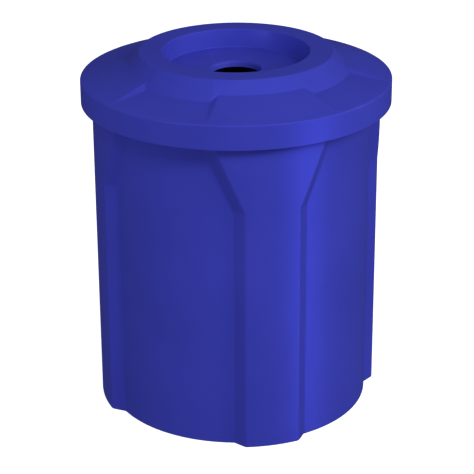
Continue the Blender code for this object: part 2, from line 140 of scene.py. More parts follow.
# %% [markdown]
# ## From a grid of points to a mesh
# Every shell here is a sheet of points with rows and columns. Its columns always close round
# the axis. Its rows either close as well, as on the lid, which is a ring with a hole, or end
# at the axis, as on the barrel, whose floor has a middle. Whether the faces point out is read
# from the sign of the volume they enclose, so a profile can be written in either direction.

# %% Build a closed mesh from a grid
def quads_of(rows, columns, rows_close):
    """Four corner numbers for each cell of a grid whose columns close round the axis."""
    row = np.arange(rows if rows_close else rows - 1)[:, None]
    column = np.arange(columns)[None, :]
    next_row, next_column = (row + 1) % rows, (column + 1) % columns
    corners = (
        row * columns + column,
        row * columns + next_column,
        next_row * columns + next_column,
        next_row * columns + column,
    )
    return np.stack(corners, axis=-1).reshape(-1, 4)


def fan_of(hub, first, columns, flipped):
    """Triangles from a hub to each side of a ring whose first point is number first."""
    one = first + np.arange(columns)
    two = first + (np.arange(columns) + 1) % columns
    sides = (two, one) if flipped else (one, two)
    return np.stack([np.full(columns, hub), *sides], axis=1)


def volume_of(points, triangles):
    """A sixth of the sum of a . (b x c) over the triangles. It is negative inside out."""
    a, b, c = (points[triangles[:, i]] for i in range(3))
    return np.einsum("ij,ij->i", a, np.cross(b, c)).sum() / 6


def grid_mesh(name, grid, rows_close=False, smooth_angle=50):
    """A closed mesh object from a (rows, columns, 3) grid of points."""
    rows, columns = grid.shape[:2]
    points = grid.reshape(-1, 3)
    quads = quads_of(rows, columns, rows_close)
    fans = np.zeros((0, 3), int)
    if not rows_close:
        hubs = np.stack([grid[0].mean(0), grid[-1].mean(0)])
        start = fan_of(len(points), 0, columns, True)
        end = fan_of(len(points) + 1, len(points) - columns, columns, False)
        fans = np.concatenate([start, end])
        points = np.concatenate([points, hubs])
    halves = np.concatenate([quads[:, [0, 1, 2]], quads[:, [0, 2, 3]], fans])
    volume = volume_of(points, halves)
    if volume < 0:
        quads, fans = quads[:, ::-1], fans[:, ::-1]
    piece = mesh_piece(name, points, quads, fans, smooth_angle)
    print(f"{name}: {len(halves)} triangles, {abs(volume) * 1e6:.0f} cubic centimetres")
    return piece


def mesh_piece(name, points, quads, others, smooth_angle):
    """An object from arrays of points, four-sided faces and other faces of one size."""
    mesh = bpy.data.meshes.new(name)
    loops = np.concatenate([quads.ravel(), others.ravel()])
    sizes = np.concatenate(
        [np.full(len(quads), 4), np.full(len(others), others.shape[1])]
    )
    mesh.vertices.add(len(points))
    mesh.vertices.foreach_set("co", points.astype(np.float32).ravel())
    mesh.loops.add(len(loops))
    mesh.loops.foreach_set("vertex_index", loops.astype(np.int32))
    mesh.polygons.add(len(sizes))
    starts = np.concatenate([[0], np.cumsum(sizes)[:-1]])
    mesh.polygons.foreach_set("loop_start", starts.astype(np.int32))
    mesh.update(calc_edges=True)
    mesh.validate()
    piece = bpy.data.objects.new(name, mesh)
    bpy.context.scene.collection.objects.link(piece)
    shade(piece, smooth_angle)
    return piece


def shade(piece, smooth_angle):
    """Smooth shading that breaks where faces meet at more than smooth_angle."""
    piece.data.shade_smooth()
    piece.data.set_sharp_from_angle(angle=math.radians(smooth_angle))
    if not piece.modifiers.get("even_normals"):
        even = piece.modifiers.new("even_normals", "WEIGHTED_NORMAL")
        even.keep_sharp = True


# %% [markdown]
# ## One section for barrel and lid
# Cut the barrel level anywhere and the outline is the same kind of curve: an outer arc across
# each raised panel, a slanting side, and an inner arc to the next panel. The lid's sloping top
# repeats it, only there the step is upwards instead of outwards. So one function makes both.
# A row holds six numbers: radius and height between the panels, radius and height on them,
# and the angles from a panel's centre to the edge of its face and to the foot of its side.

# %% The fluted section
FACE_STEPS, CORNER_STEPS, SIDE_STEPS, RECESS_STEPS = 10, 6, 4, 14


def straight(start, end, steps, first=0):
    """Points start + s (end - start) for s in equal steps from 0 to 1, from number first."""
    s = np.linspace(0, 1, steps)[first:, None]
    return start[:, None, :] + s * (end - start)[:, None, :]


def fluted_grid(rows, reach):
    """Turn rows into a (rows, columns, 3) grid of points round the axis.

    Half a panel is worked out in (angle, radius, height): along the face, a parabola over its
    edge, down the side, a parabola at its foot, and along the recess. Then it is mirrored and
    repeated round the axis, and x = radius sin(angle), y = -radius cos(angle).
    """
    low, high = rows[:, 0:2], rows[:, 2:4]
    face, foot = np.radians(rows[:, 4:5]), np.radians(rows[:, 5:6])
    edge = np.concatenate([face, high], axis=1)
    base = np.concatenate([foot, low], axis=1)
    width = (foot - face) * (low[:, :1] + high[:, :1]) / 2
    side = np.sqrt(width**2 + ((high - low) ** 2).sum(1, keepdims=True))
    cut = np.minimum(reach, 0.4 * side)
    along = (base - edge) * cut / side
    back = np.concatenate([cut / high[:, :1], 0 * high], axis=1)
    ahead = np.concatenate([cut / low[:, :1], 0 * low], axis=1)
    centre = edge * (0, 1, 1)
    middle = base * (0, 1, 1) + (math.radians(PITCH / 2), 0, 0)
    half = np.concatenate(
        [
            straight(centre, edge - back, FACE_STEPS),
            parabola(edge - back, edge, edge + along, CORNER_STEPS)[:, 1:],
            straight(edge + along, base - along, SIDE_STEPS, 1),
            parabola(base - along, base, base + ahead, CORNER_STEPS)[:, 1:],
            straight(base + ahead, middle, RECESS_STEPS, 1),
        ],
        axis=1,
    )
    mirrored = half[:, ::-1] * (-1, 1, 1)
    panel = np.concatenate([mirrored[:, :-1], half[:, :-1]], axis=1)
    turns = np.radians(PITCH) * np.arange(PANELS)[None, :, None]
    angle = (panel[:, None, :, 0] + turns).reshape(len(rows), -1)
    radius = np.tile(panel[:, :, 1], PANELS)
    height = np.tile(panel[:, :, 2], PANELS)
    return np.stack([radius * np.sin(angle), -radius * np.cos(angle), height], axis=-1)


# %% [markdown]
# ## Drilled holes
# The bolts need holes, and the floor needs drains. A hole could be left out of the grid by
# hand, but that breaks its tidy rows. It is simpler to shape the solid first and drill it
# afterwards, as the workshop does: a Boolean modifier takes a round bar out of it, and its
# result is kept as the new mesh.

# %% Bars and drilling
def turned_grid(profile, columns=64):
    """A profile of (radius, height) points spun round Z: x = r cos(a), y = r sin(a)."""
    angle = np.linspace(0, 2 * math.pi, columns, endpoint=False)
    radius, height = profile[:, :1], profile[:, 1:2]
    shape = (len(profile), columns)
    x, y = radius * np.cos(angle), radius * np.sin(angle)
    return np.stack([x, y, np.broadcast_to(height, shape)], axis=-1)


def placed(grid, matrix):
    """Every point of a grid moved by a matrix."""
    matrix = np.array(matrix)
    return grid @ matrix[:3, :3].T + matrix[:3, 3]


def facing(origin, direction, side=(1, 0, 0)):
    """A matrix at origin whose Z is direction and whose X is as near to side as it can be."""
    z_axis = Vector(direction).normalized()
    y_axis = z_axis.cross(Vector(side)).normalized()
    turn = Matrix((y_axis.cross(z_axis), y_axis, z_axis)).transposed()
    return Matrix.Translation(origin) @ turn.to_4x4()


def drill(piece, radius, length, places, smooth_angle=50):
    """Take a round bar, centred at each of the places, out of a piece."""
    profile = np.array([(radius, -length / 2), (radius, length / 2)])
    for place in places:
        bar = grid_mesh(f"{piece.name}_bar", placed(turned_grid(profile, 40), place))
        cut = piece.modifiers.new("drill", "BOOLEAN")
        cut.object = bar
        even = piece.modifiers.get("even_normals")
        if even:
            piece.modifiers.remove(even)
        graph = bpy.context.evaluated_depsgraph_get()
        drilled = bpy.data.meshes.new_from_object(piece.evaluated_get(graph))
        piece.modifiers.clear()
        piece.data = drilled
        bpy.data.objects.remove(bar)
    shade(piece, smooth_angle)
    print(f"{piece.name}: {len(places)} holes of {2000 * radius:.1f} mm")


def finish_piece(piece, body, slot, finish, *nodes):
    """Give a piece its finish, hang it on its body's empty, and hide the imported nodes it
    stands for.
    """
    piece.data.materials.clear()
    piece.data.materials.append(finish)
    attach(piece, body)
    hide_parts(*nodes)


# %% [markdown]
# ## Finishes
# The barrel and lid are moulded by turning powder in a hot mould, so the colour goes right
# through, and the skin is smooth with a faint orange peel. That is four layers of noise: a
# wide one that shifts the colour a little, a middle one that shifts the gloss, and two fine
# ones that only bend the light. A painted image would need unwrapping and would stretch over
# the steps, while noise read in object coordinates runs evenly over every curve.

# %% Moulded plastic
def fresh_material(name):
    """A new material, its Principled shader, and small functions that add nodes to it."""
    made = bpy.data.materials.new(name)
    made.use_nodes = True
    nodes, links = made.node_tree.nodes, made.node_tree.links
    place = nodes.new("ShaderNodeTexCoord")

    def noise(scale, detail):
        """Cloudy noise with scale features to the metre."""
        texture = nodes.new("ShaderNodeTexNoise")
        texture.inputs["Scale"].default_value = scale
        texture.inputs["Detail"].default_value = detail
        links.new(place.outputs["Object"], texture.inputs["Vector"])
        return texture.outputs["Fac"]

    def spread(value, low, high):
        """Map 0.3 to 0.7, where most of a noise lies, onto low to high."""
        ranged = nodes.new("ShaderNodeMapRange")
        ranged.inputs["From Min"].default_value = 0.3
        ranged.inputs["From Max"].default_value = 0.7
        ranged.inputs["To Min"].default_value = low
        ranged.inputs["To Max"].default_value = high
        links.new(value, ranged.inputs["Value"])
        return ranged.outputs["Result"]

    def mix(share, one, two):
        """A colour between one and two by share. Sockets 6, 7 and 2 are the node's colours."""
        mixed = nodes.new("ShaderNodeMix")
        mixed.data_type = "RGBA"
        links.new(share, mixed.inputs["Factor"])
        mixed.inputs[6].default_value = (*one, 1)
        mixed.inputs[7].default_value = (*two, 1)
        return mixed.outputs[2]

    def bump(height, strength, distance, below=None):
        """Bend the light by a height, on top of another bump if there is one."""
        node = nodes.new("ShaderNodeBump")
        node.inputs["Strength"].default_value = strength
        node.inputs["Distance"].default_value = distance
        links.new(height, node.inputs["Height"])
        if below:
            links.new(below, node.inputs["Normal"])
        return node.outputs["Normal"]

    tools = {
        "nodes": nodes,
        "links": links,
        "place": place,
        "noise": noise,
        "spread": spread,
        "mix": mix,
        "bump": bump,
    }
    return made, nodes["Principled BSDF"], tools


CLOUD, WIPE, PEEL, GRAIN = 5.0, 28.0, 240.0, 1500.0
PEEL_DEPTH, GRAIN_DEPTH = 0.0004, 0.00012


def moulded_plastic(name, deep, pale, gloss, tint=(1, 1, 1), specular=0.40):
    """Through-coloured plastic: colour between deep and pale, roughness in the gloss range."""
    made, shader, tool = fresh_material(name)
    links = tool["links"]
    cloud = tool["spread"](tool["noise"](CLOUD, 3.0), 0.0, 1.0)
    links.new(tool["mix"](cloud, deep, pale), shader.inputs["Base Color"])
    wipe = tool["spread"](tool["noise"](WIPE, 4.0), *gloss)
    links.new(wipe, shader.inputs["Roughness"])
    peel = tool["bump"](tool["noise"](PEEL, 2.0), 0.10, PEEL_DEPTH)
    grain = tool["bump"](tool["noise"](GRAIN, 1.0), 0.08, GRAIN_DEPTH, peel)
    links.new(grain, shader.inputs["Normal"])
    shader.inputs["Specular IOR Level"].default_value = specular
    shader.inputs["Specular Tint"].default_value = (*tint, 1)
    return made


BLUE_DEEP = (0.040, 0.048, 0.435)
BLUE_PALE = (0.045, 0.054, 0.485)
BLUE_SHEEN = (0.16, 0.18, 1.0)
BLACK_DEEP, BLACK_PALE = (0.012, 0.012, 0.013), (0.020, 0.020, 0.022)
SATIN, DULL = (0.34, 0.40), (0.42, 0.55)
blue_plastic = moulded_plastic(
    "blue_plastic_skin", BLUE_DEEP, BLUE_PALE, SATIN, BLUE_SHEEN, specular=0.55
)
black_plastic = moulded_plastic("black_plastic_skin", BLACK_DEEP, BLACK_PALE, DULL)
print("plastics:", blue_plastic.name, black_plastic.name)

# %% [markdown]
# Bright metal is all reflection, so a flat colour would look like grey paint. What gives it
# away is unevenness: the small crystals of a zinc bath, the finer ones of stainless steel, and
# hairline marks from handling. Crystals are cells that shade from dark to light, and the marks
# are a fine noise that only bends the light.

# %% Bare metal
HANDLED, HAIRLINE = 180.0, 2600.0
HAIRLINE_DEPTH = 0.00006


def bright_metal(name, dark, light, cell_scale, gloss):
    """Metal with cell_scale cells to the metre, which shade from dark to light outwards."""
    made, shader, tool = fresh_material(name)
    nodes, links = tool["nodes"], tool["links"]
    cells = nodes.new("ShaderNodeTexVoronoi")
    cells.inputs["Scale"].default_value = cell_scale
    links.new(tool["place"].outputs["Object"], cells.inputs["Vector"])
    links.new(tool["mix"](cells.outputs["Distance"], dark, light), shader.inputs["Base Color"])
    links.new(tool["spread"](tool["noise"](HANDLED, 3.0), *gloss), shader.inputs["Roughness"])
    scratch = tool["bump"](tool["noise"](HAIRLINE, 2.0), 0.12, HAIRLINE_DEPTH)
    links.new(scratch, shader.inputs["Normal"])
    shader.inputs["Metallic"].default_value = 1.0
    return made


STEEL_DARK, STEEL_LIGHT = (0.58, 0.58, 0.57), (0.70, 0.70, 0.69)
ZINC_DARK, ZINC_LIGHT = (0.50, 0.52, 0.55), (0.66, 0.67, 0.68)
stainless = bright_metal("stainless_turned", STEEL_DARK, STEEL_LIGHT, 900, (0.22, 0.32))
zinc = bright_metal("zinc_plate", ZINC_DARK, ZINC_LIGHT, 260, (0.30, 0.42))
print("metals:", stainless.name, zinc.name)

# %% [markdown]
# ## The barrel
# It is one wall that turns: under the foot, up the outside, over a flange that the lid hides,
# and down the inside. The panels keep their width up to the knee, where their sides start to
# lean apart and draw the V. Writing it as a list of rows keeps the drawing of the wall in one
# place. A row where both radii are equal is plain and round.

# %% Rows of the barrel
RECESS, PANEL = 0.2768, 0.2973
HALF = (10.9, 15.6)
FLARE_HALF = (25.2, 31.6)
KNEE, FLARE_TOP = 0.518, 0.688
FOOT_EDGE = 0.005
FLOOR, KICK_UP = 0.0055, 0.012
FOOT_INNER, FLOOR_MIDDLE = 0.244, 0.020
KICK_SLOPE, KICK_WALL = 0.006, 0.005
FLANGE_RISE = 0.007


def barrel_row(inset, height, half=HALF):
    """A fluted row, brought in by inset."""
    return (RECESS - inset, height, PANEL - inset, height, *half)


def plain_row(radius, height, half=HALF):
    """A round row."""
    return (radius, height, radius, height, *half)


barrel_rows = [
    plain_row(FLOOR_MIDDLE, KICK_UP),
    plain_row(FOOT_INNER - KICK_SLOPE, KICK_UP),
    plain_row(FOOT_INNER, 0.0),
    barrel_row(0, 0),
    barrel_row(0, KNEE),
    barrel_row(0, FLARE_TOP, FLARE_HALF),
    plain_row(FLANGE_RADIUS, FLARE_TOP + FLANGE_RISE, FLARE_HALF),
    plain_row(FLANGE_RADIUS, FLANGE_TOP, FLARE_HALF),
    barrel_row(WALL, FLANGE_TOP, FLARE_HALF),
    barrel_row(WALL, FLARE_TOP, FLARE_HALF),
    barrel_row(WALL, KNEE),
    barrel_row(WALL, FLOOR),
    plain_row(FOOT_INNER + KICK_WALL, FLOOR),
    plain_row(FOOT_INNER + KICK_WALL - KICK_SLOPE, FLOOR + KICK_UP),
    plain_row(FLOOR_MIDDLE, FLOOR + KICK_UP),
]
rounding = [0, 0.005, 0.002, FOOT_EDGE, 0.006, 0.004, 0.001, 0.0015]
rounding += [0.0015, 0.004, 0.006, 0.006, 0.004, 0.004, 0]
barrel_path = fill_gaps(rounded_path(barrel_rows, rounding, measured=4), 0.030, 4)
barrel = grid_mesh("barrel_shell", fluted_grid(barrel_path, 0.0035))

# %% [markdown]
# Four drains sit in the foot under the panels, and four larger holes in the floor take bolts
# into the ground. The tether's anchor bolt goes through the panel at the back, up under the
# lid. Its axis is read from the two washers that it passes through.

# %% Drill the barrel
DRAIN, DRAIN_CIRCLE = 0.0060, 0.266
GROUND_BOLT, GROUND_BOLT_CIRCLE = 0.0068, 0.150
ANCHOR_HOLE, DRILL_LENGTH = 0.0043, 0.03


def around(radius, degrees, height):
    """The point at a radius, an angle from -Y towards +X, and a height."""
    angle = math.radians(degrees)
    return Vector((radius * math.sin(angle), -radius * math.cos(angle), height))


def middle_of(node):
    """The centre of a node's box."""
    low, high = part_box(node)
    return (low + high) / 2


def anchor_frame(prefix):
    """The outer washer's centre, with Z pointing out along the bolt."""
    outer = middle_of(f"{prefix}_anchor_washer_outer")
    inner = middle_of(f"{prefix}_anchor_washer_inner")
    return facing(outer, outer - inner)


quarter_turns = PITCH * np.arange(PANELS)
drains = [Matrix.Translation(around(DRAIN_CIRCLE, turn, 0)) for turn in quarter_turns]
ground_bolts = [
    Matrix.Translation(around(GROUND_BOLT_CIRCLE, turn + PITCH / 2, KICK_UP))
    for turn in quarter_turns
]
drill(barrel, DRAIN, DRILL_LENGTH, drains)
drill(barrel, GROUND_BOLT, DRILL_LENGTH, ground_bolts)
drill(barrel, ANCHOR_HOLE, DRILL_LENGTH, [anchor_frame("barrel")])
finish_piece(barrel, "barrel", "blue_plastic", blue_plastic, "barrel")

# %% [markdown]
# ## The lid
# From the middle outwards the lid goes up a rolled lip, across the sunken dish, up a steep
# wall, over a flat crest, down the dome and out along the sloping top to the rim. Where the
# top is raised it meets the dome higher up and further in, and the step fades to nothing at
# the rim. Its rows close into a ring, because the hole goes right through.

# %% Rows of the lid
SECTOR_INNER, SECTOR_OUTER = (22.8, 26.4), (24.3, 24.9)
DOME_FOOT_LOW, DOME_FOOT_HIGH = (0.2339, 0.0160), (0.2213, 0.0270)
SLOPE_END = (0.3150, 0.0010)
CREST_RISE = CREST_TOP - RIM
DISH_RISE, DISH_RADIUS = 0.0134, 0.1450
CREST_INNER, CREST_OUTER = 0.1513, 0.1994
HOLE_THROAT, HOLE_KNEE, HOLE_MOUTH = 0.0475, 0.0498, 0.0530
LIP_END, KNEE_RISE = 0.0004, 0.0095
RIM_FALL = 0.0008
SEAT_INNER, SEAT_CLEAR = 0.300, 0.004
# The underside's radii: below the crest, below the dish, and behind the rolled lip.
CREST_UNDER_OUTER, CREST_UNDER_INNER = 0.1974, 0.1568
DISH_UNDER_OUTER, DISH_UNDER_INNER = 0.1500, 0.0554
LIP_BACK = 0.0520


def lid_row(low, high=None, half=SECTOR_INNER):
    """A row whose heights count from the rim. With no second pair it is round."""
    high = high or low
    return (low[0], RIM + low[1], high[0], RIM + high[1], *half)


def below(foot):
    """Where the underside meets the foot of the dome, about one wall under the top."""
    return (foot[0] - 0.0022, foot[1] - 0.0050)


def slope_below(foot):
    """The underside of the sloping top at the edge of the seat."""
    share = (SLOPE_END[0] - SEAT_INNER) / (SLOPE_END[0] - foot[0])
    return (SEAT_INNER, SLOPE_END[1] + share * (foot[1] - SLOPE_END[1]) - WALL)


lid_rows = [
    lid_row((HOLE_THROAT, LIP_END)),
    lid_row((HOLE_KNEE, KNEE_RISE)),
    lid_row((HOLE_MOUTH, DISH_RISE)),
    lid_row((DISH_RADIUS, DISH_RISE)),
    lid_row((CREST_INNER, CREST_RISE)),
    lid_row((CREST_OUTER, CREST_RISE)),
    lid_row(DOME_FOOT_LOW, DOME_FOOT_HIGH),
    lid_row(SLOPE_END, half=SECTOR_OUTER),
    lid_row((LID_RADIUS, -RIM_FALL), half=SECTOR_OUTER),
    lid_row((LID_RADIUS, SKIRT_BOTTOM - RIM), half=SECTOR_OUTER),
    lid_row((LID_RADIUS - WALL, SKIRT_BOTTOM - RIM), half=SECTOR_OUTER),
    lid_row((LID_RADIUS - WALL, -WALL), half=SECTOR_OUTER),
    lid_row((SEAT_INNER + SEAT_CLEAR, -WALL), half=SECTOR_OUTER),
    lid_row(slope_below(DOME_FOOT_LOW), slope_below(DOME_FOOT_HIGH), SECTOR_OUTER),
    lid_row(below(DOME_FOOT_LOW), below(DOME_FOOT_HIGH)),
    lid_row((CREST_UNDER_OUTER, CREST_RISE - WALL)),
    lid_row((CREST_UNDER_INNER, CREST_RISE - WALL)),
    lid_row((DISH_UNDER_OUTER, DISH_RISE - WALL)),
    lid_row((DISH_UNDER_INNER, DISH_RISE - WALL)),
    lid_row((LIP_BACK, LIP_END)),
]
lid_rounding = [0.001, 0.002, 0.0016, 0.003, 0.003, 0.0025, 0.0015, 0.003, 0.0035, 0.0015, 0.001]
lid_rounding += [0.003, 0.002, 0.004, 0.003, 0.003, 0.003, 0.003, 0.003, 0.001]
lid_path = rounded_path(lid_rows, lid_rounding, closed=True, measured=4)
lid_path = fill_gaps(lid_path, 0.015, 4)
lid = grid_mesh("lid_shell", fluted_grid(lid_path, 0.0025), rows_close=True)
drill(lid, ANCHOR_HOLE, DRILL_LENGTH, [anchor_frame("lid")])
finish_piece(lid, "lid", "blue_plastic", blue_plastic, "lid")

# %% [markdown]
# ## The liner
# The tub that holds the load is thinner and black. It widens a little towards its lip so that
# it lifts out freely. It is a plain turned shape, so its profile is spun round the axis.

# %% Turn the liner
LINER_WALL = 0.003
FOOT_RADIUS, TOP_RADIUS = 0.236, 0.260
liner_foot, liner_top = liner_low.z, liner_high.z
lip_radius = liner_high.x
LIP_DEPTH, LINER_KICK = 0.009, 0.012
LINER_MIDDLE, KICK_EDGE, KICK_FOOT = 0.010, 0.190, 0.198
KICK_STEP = 0.002


def wall_radius(height):
    """The liner's inner radius at a height, on the straight line from foot to top."""
    share = (height - liner_foot) / (liner_top - liner_foot)
    return FOOT_RADIUS + share * (TOP_RADIUS - FOOT_RADIUS) - LINER_WALL


lip_under = liner_top - LIP_DEPTH
liner_profile = [
    (LINER_MIDDLE, liner_foot + LINER_KICK),
    (KICK_EDGE, liner_foot + LINER_KICK),
    (KICK_FOOT, liner_foot),
    (FOOT_RADIUS, liner_foot),
    (wall_radius(lip_under) + LINER_WALL, lip_under),
    (lip_radius, lip_under),
    (lip_radius, liner_top),
    (TOP_RADIUS - LINER_WALL, liner_top),
    (FOOT_RADIUS - LINER_WALL, liner_foot + LINER_WALL),
    (KICK_FOOT + KICK_STEP, liner_foot + LINER_WALL),
    (KICK_EDGE + KICK_STEP, liner_foot + LINER_KICK + LINER_WALL),
    (LINER_MIDDLE, liner_foot + LINER_KICK + LINER_WALL),
]
liner_rounding = [0, 0.004, 0.004, 0.005, 0.001, 0.001, 0.002, 0.001, 0.005, 0.004, 0.004, 0]
liner_path = fill_gaps(rounded_path(liner_profile, liner_rounding), 0.05)
liner = grid_mesh("liner_tub", turned_grid(liner_path, 144))

# %% [markdown]
# ## Handles, saddles and rivets
# Each drop handle is one closed ring of wire that turns in a bent strap. Everything on one
# side shares two frames of axes: one on the wall, for the strap and its rivets, and one on the
# hinge, for the wire, which rests a few degrees off plumb. Both start from the hinge's point
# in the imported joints, so what is drawn here swings where it should.

# %% Frames on the wall and on the hinge
PIVOT_FROM_WALL = 0.0062
HANDLE_LEAN = 9.0
SIDES = {"right": 1, "left": -1}
wall_lean = math.atan((TOP_RADIUS - FOOT_RADIUS) / (liner_top - liner_foot))


def hinge_point(label):
    """A move to the hinge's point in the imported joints."""
    return Matrix.Translation(joints[f"{label}_handle_swing"]["pos_m"])


def pivot_frame(label):
    """The hinge: Y along the bar, -Z down the hanging ring."""
    lean = Matrix.Rotation(math.radians(SIDES[label] * HANDLE_LEAN), 4, "Y")
    return hinge_point(label) @ lean


def wall_frame(label):
    """On the liner's wall behind the hinge: X points off the wall, Z up along it."""
    turn = Matrix.Rotation(wall_lean, 4, "Y") @ Matrix.Rotation(math.pi, 4, "Z")
    if SIDES[label] < 0:
        turn = Matrix.Rotation(math.pi, 4, "Z") @ turn
    return hinge_point(label) @ turn @ Matrix.Translation((-PIVOT_FROM_WALL, 0, 0))


print("hinges:", [hinge_point(label).translation.to_tuple(3) for label in SIDES])

# %% [markdown]
# The wire is a circle carried round a path. The path lies flat, so one direction across the
# wire is always square to that plane, and the other is the path's own direction turned by a
# right angle. That keeps the tube from twisting, with no need to track a frame along it.

# %% Bend the handles
WIRE = 0.003
HANDLE_CORNERS = [(-0.030, 0), (0.030, 0), (0.052, -0.062), (-0.052, -0.062)]


def wire_grid(path, radius, sides=24):
    """Tube round a closed flat path: path + radius (cos(a) across + sin(a) off the plane)."""
    ahead = np.roll(path, -1, axis=0) - np.roll(path, 1, axis=0)
    ahead /= np.linalg.norm(ahead, axis=1, keepdims=True)
    across = np.stack([ahead[:, 1], -ahead[:, 0]], axis=1)
    angle = np.linspace(0, 2 * math.pi, sides, endpoint=False)
    flat = path[:, None, :] + radius * np.cos(angle)[:, None] * across[:, None, :]
    off = np.broadcast_to(radius * np.sin(angle), flat.shape[:2])
    return np.concatenate([off[..., None], flat], axis=-1)


handle_path = rounded_path(HANDLE_CORNERS, 0.010, 12, closed=True)
handle_path = fill_gaps(handle_path, 0.006)
for label in SIDES:
    grid = placed(wire_grid(handle_path, WIRE), pivot_frame(label))
    handle = grid_mesh(f"drop_handle_{label}", grid, rows_close=True)
    finish_piece(handle, f"handle_{label}", "zinc_plated_steel", zinc, f"handle_{label}")

# %% [markdown]
# The saddle is a strip of sheet bent over the wire. Solidify over a bent ribbon would also do,
# but then its feet would not end square. So its edge-on outline is drawn once and pulled
# sideways into a strap, and a Bevel takes the sheared edge off.

# %% Form the saddles
HALF_WIDTH, HALF_HEIGHT = 0.020, 0.017
SHEET, OFF_WALL, BORE = 0.0016, 0.0011, 0.0036
SHEARED_EDGE = 0.0003


def saddle_outline():
    """Closed (off the wall, up) outline: a flat, a half circle over the wire, a flat."""
    a = np.linspace(-math.pi / 2, math.pi / 2, 17)
    over = np.stack([np.cos(a), np.sin(a)], axis=1)
    hinge = np.array([PIVOT_FROM_WALL, 0])
    back, front, crown = OFF_WALL, OFF_WALL + SHEET, BORE + SHEET
    inner = [(back, -HALF_HEIGHT), (back, -BORE), *(hinge + BORE * over), (back, BORE)]
    outer = [(front, crown), *(hinge + crown * over)[::-1], (front, -crown)]
    ends = [(back, HALF_HEIGHT), (front, HALF_HEIGHT)]
    return np.array([*inner, *ends, *outer, (front, -HALF_HEIGHT)])


def strap(name, outline, half_width, matrix):
    """An outline in (x, z) pulled from -half_width to half_width along y, with its ends."""
    count = len(outline)
    y = np.repeat([-half_width, half_width], count)
    points = np.stack([np.tile(outline[:, 0], 2), y, np.tile(outline[:, 1], 2)], axis=1)
    one = np.arange(count)
    two = (one + 1) % count
    sides = np.stack([one, two, two + count, one + count], axis=1)
    ends = np.stack([one[::-1], one + count])
    piece = mesh_piece(name, placed(points, matrix), sides, ends, 30)
    bevel = piece.modifiers.new("sheared_edge", "BEVEL")
    bevel.width = SHEARED_EDGE
    bevel.segments = 2
    piece.modifiers.move(1, 0)
    return piece


for label in SIDES:
    saddle = strap(f"saddle_{label}", saddle_outline(), HALF_WIDTH, wall_frame(label))
    node = f"handle_saddle_{label}"
    finish_piece(saddle, "liner", "zinc_plated_steel", zinc, node)
    print(saddle.name, "stands for", node)

# %% [markdown]
# Four rivets hold each saddle to the wall, with a low dome inside the liner and a set tail
# outside it. They are round, so one turned grid serves all eight, and only its frame changes.
# Their holes are cut through the liner last, from the same frames, so that hole and rivet
# can't drift apart.

# %% Set the rivets
RIVET_ACROSS, RIVET_UP = 0.013, 0.0115
DOME, DOME_HEIGHT = 0.0044, 0.0022
TAIL, TAIL_HEIGHT = 0.0036, 0.0018
SHANK, CORE = 0.0023, 0.0004
GAP, RIVET_DRILL = 0.0003, 0.012
head_seat = OFF_WALL + SHEET + GAP
tail_seat = -LINER_WALL - 2 * GAP
rivet_corners = [
    (CORE, head_seat + DOME_HEIGHT),
    (0.0024, head_seat + 0.0021),
    (DOME, head_seat + 0.0009),
    (DOME, head_seat),
    (SHANK, head_seat),
    (SHANK, tail_seat),
    (TAIL, tail_seat),
    (0.0034, tail_seat - TAIL_HEIGHT),
    (CORE, tail_seat - TAIL_HEIGHT),
]
rivet_grid = turned_grid(rounded_path(rivet_corners, 0.0009, 4), 32)
rivet_frames = []
for label in SIDES:
    for i, (across, up) in enumerate([(-1, 1), (1, 1), (-1, -1), (1, -1)]):
        spot = (0, across * RIVET_ACROSS, up * RIVET_UP)
        matrix = wall_frame(label) @ facing(spot, (1, 0, 0), (0, 0, 1))
        rivet = grid_mesh(f"dome_rivet_{label}_{i + 1}", placed(rivet_grid, matrix))
        node = f"rivet_{label}_{i + 1}"
        finish_piece(rivet, "liner", "zinc_plated_steel", zinc, node)
        rivet_frames.append(matrix)

drill(liner, SHANK + GAP, RIVET_DRILL, rivet_frames)
finish_piece(liner, "liner", "black_plastic", black_plastic, "rigid_liner")

# %% [markdown]
# ## Tether anchors
# A cable inside, which isn't drawn, ties the lid to the barrel so that it can't be lost. From
# outside only the heads of its two bolts show, and the barrel's hides behind the lid's skirt.
# A head is a turned dome with a six-sided socket. The socket is the same turned grid with its
# radius divided by cos(a), where a runs from -30 to 30 degrees across each flat, because that
# is the distance to a hexagon's side.

# %% Turn the bolts and washers
HEAD, SOCKET, BOLT = 0.0090, 0.0025, 0.0040
SOCKET_FLOOR, SOCKET_TOP = 0.0014, 0.0038
BOLT_REACH = 0.0128
WASHER, WASHER_THICK = 0.0110, 0.0016


def bolt_grid(reach, columns=96):
    """A button-head bolt. The head's underside is at height 0 and the shank runs to -reach."""
    socket = np.array([(CORE, SOCKET_FLOOR), (SOCKET, SOCKET_FLOOR), (SOCKET, SOCKET_TOP)])
    head = [(0.0036, 0.0042), (0.0050, 0.0040), (0.0078, 0.0024), (HEAD, 0.0006)]
    shank = [(HEAD, 0), (BOLT, 0), (BOLT, -reach), (CORE, -reach)]
    outside = rounded_path([*head, *shank], 0.0004, 4)
    hexagonal = turned_grid(socket, columns)
    angle = np.linspace(0, 2 * math.pi, columns, endpoint=False)
    across = (angle + math.pi / 6) % (math.pi / 3) - math.pi / 6
    hexagonal[1:, :, :2] /= np.cos(across)[:, None]
    return np.concatenate([hexagonal, turned_grid(outside, columns)])


